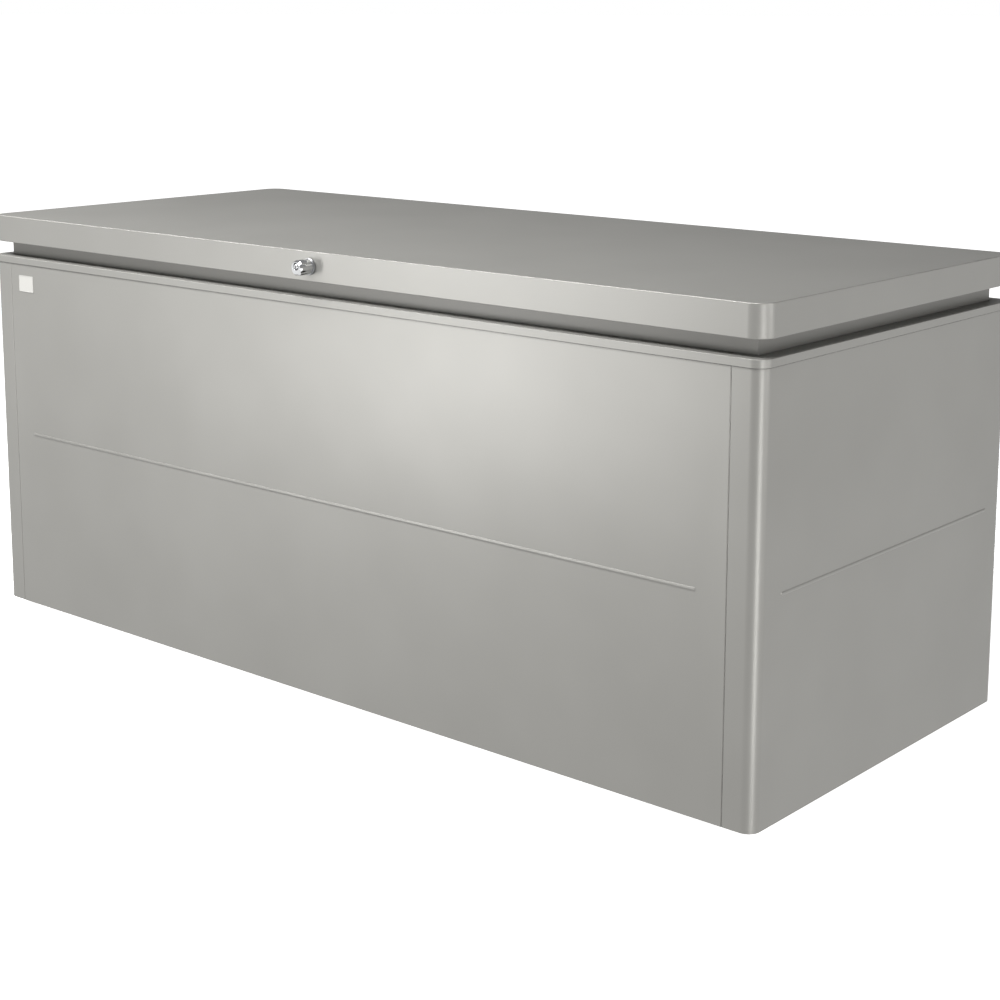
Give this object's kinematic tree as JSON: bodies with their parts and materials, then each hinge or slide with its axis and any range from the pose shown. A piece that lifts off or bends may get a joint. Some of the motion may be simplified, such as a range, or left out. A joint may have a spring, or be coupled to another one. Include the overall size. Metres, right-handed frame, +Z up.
{
  "type": "cushion box",
  "caption": "Long sheet-metal garden storage box with a hinged flat lid on gas struts and a turning-knob lock with sliding rods.",
  "frame": {"origin": "on the ground, under the middle of the box, at the underside of the middle foot", "axes": "+X along the length to the viewer's right, -Y towards the front with the knob, +Z up"},
  "size_m": [2, 0.8768, 0.885],
  "materials": {
    "painted_wall": "satin metallic grey powder coat on the walls",
    "painted_lid": "satin metallic grey powder coat on the lid",
    "painted_rim": "satin metallic grey powder coat on the rim",
    "painted_collar": "satin darker grey powder coat on the collar",
    "zinc_plate": "bright zinc plating on folded steel",
    "zinc_hardware": "zinc plated hinge and lock hardware",
    "chrome_lock": "polished chrome on die-cast zinc",
    "plug_brass": "nickel plated brass key plug",
    "floor_aluminium": "mill finish aluminium sheet",
    "seal_rubber": "black foam rubber",
    "foot_plastic": "black polyamide",
    "strut_black": "black lacquered steel tube with a black moulded eye",
    "rod_chrome": "hard chromed and ground rod with a black moulded eye",
    "badge_pale": "pale bare plate, satin"
  },
  "bodies": {
    "box": {"front_wall": "painted_wall", "rear_wall": "painted_wall", "side_wall_right": "painted_wall", "side_wall_left": "painted_wall", "rim_frame": "painted_rim", "collar_front": "painted_collar", "collar_rear": "painted_collar", "collar_right": "painted_collar", "collar_left": "painted_collar", "collar_seal": "seal_rubber", "badge_plate": "badge_pale", "base_rail_left": "zinc_plate", "base_rail_middle": "zinc_plate", "base_rail_right": "zinc_plate", "feet": "foot_plastic", "floor_panel_left": "floor_aluminium", "floor_panel_right": "floor_aluminium", "wall_stiffeners": "painted_wall", "side_posts": "painted_wall", "hinge_leaves_fixed": "zinc_hardware", "hinge_pins": "zinc_hardware", "lock_strikes": "zinc_hardware", "strut_stud_lower_left": "zinc_hardware", "strut_stud_lower_right": "zinc_hardware"},
    "lid": {"lid_shell": "painted_lid", "lid_rail_front": "zinc_plate", "lid_rail_rear": "zinc_plate", "lid_rail_left": "zinc_plate", "lid_rail_right": "zinc_plate", "lid_stiffeners": "zinc_plate", "hinge_leaves_lid": "zinc_hardware", "lock_rosette": "chrome_lock", "lock_nut": "zinc_hardware", "rod_guides": "zinc_hardware", "strut_stud_upper_left": "zinc_hardware", "strut_stud_upper_right": "zinc_hardware"},
    "knob": {"lock_knob": "chrome_lock", "lock_cam": "zinc_hardware", "cam_screw": "zinc_hardware"},
    "key": {"key_plug": "plug_brass"},
    "lock_rod_left": {"lock_rod_left": "zinc_hardware"},
    "strut_cylinder_left": {"strut_cylinder_left": "strut_black"},
    "strut_rod_left": {"strut_rod_left": "rod_chrome"},
    "lock_rod_right": {"lock_rod_right": "zinc_hardware"},
    "strut_cylinder_right": {"strut_cylinder_right": "strut_black"},
    "strut_rod_right": {"strut_rod_right": "rod_chrome"}
  },
  "joints": [
    {"name": "lid_hinge", "type": "hinge", "parent": "box", "child": "lid", "pos_m": [0, 0.397, 0.823], "axis": [-1, 0, 0], "range_deg": [0, 80]},
    {"name": "knob_turn", "type": "hinge", "parent": "lid", "child": "knob", "pos_m": [0, -0.43, 0.8565], "axis": [0, -1, 0], "range_deg": [0, 90]},
    {"name": "key_turn", "type": "hinge", "parent": "knob", "child": "key", "pos_m": [0, -0.4458, 0.8595], "axis": [0, -1, 0], "range_deg": [0, 90]},
    {"name": "lock_rod_left_slide", "type": "slide", "parent": "lid", "child": "lock_rod_left", "axis": [-1, 0, 0], "range_m": [0, 0.0198]},
    {"name": "lock_rod_right_slide", "type": "slide", "parent": "lid", "child": "lock_rod_right", "axis": [1, 0, 0], "range_m": [0, 0.0198]},
    {"name": "strut_cylinder_left_pivot", "type": "hinge", "parent": "box", "child": "strut_cylinder_left", "pos_m": [-0.93, 0.32, 0.6], "axis": [-1, 0, 0], "range_deg": [0, 41]},
    {"name": "strut_rod_left_pivot", "type": "hinge", "parent": "lid", "child": "strut_rod_left", "pos_m": [-0.93, 0.16, 0.858], "axis": [-1, 0, 0], "range_deg": [-40, 0]},
    {"name": "strut_cylinder_right_pivot", "type": "hinge", "parent": "box", "child": "strut_cylinder_right", "pos_m": [0.93, 0.32, 0.6], "axis": [-1, 0, 0], "range_deg": [0, 41]},
    {"name": "strut_rod_right_pivot", "type": "hinge", "parent": "lid", "child": "strut_rod_right", "pos_m": [0.93, 0.16, 0.858], "axis": [-1, 0, 0], "range_deg": [-40, 0]}
  ],
  "couplings": [
    {"joint": "knob_turn", "follows": "lock_rod_left_slide", "rad_per_m": 79.33},
    {"joint": "lock_rod_right_slide", "follows": "lock_rod_left_slide", "ratio": 1},
    {"joint": "strut_cylinder_left_pivot", "follows": "lid_hinge", "ratio": 0.505},
    {"joint": "strut_rod_left_pivot", "follows": "lid_hinge", "ratio": -0.495},
    {"joint": "strut_cylinder_right_pivot", "follows": "lid_hinge", "ratio": 0.505},
    {"joint": "strut_rod_right_pivot", "follows": "lid_hinge", "ratio": -0.495}
  ]
}
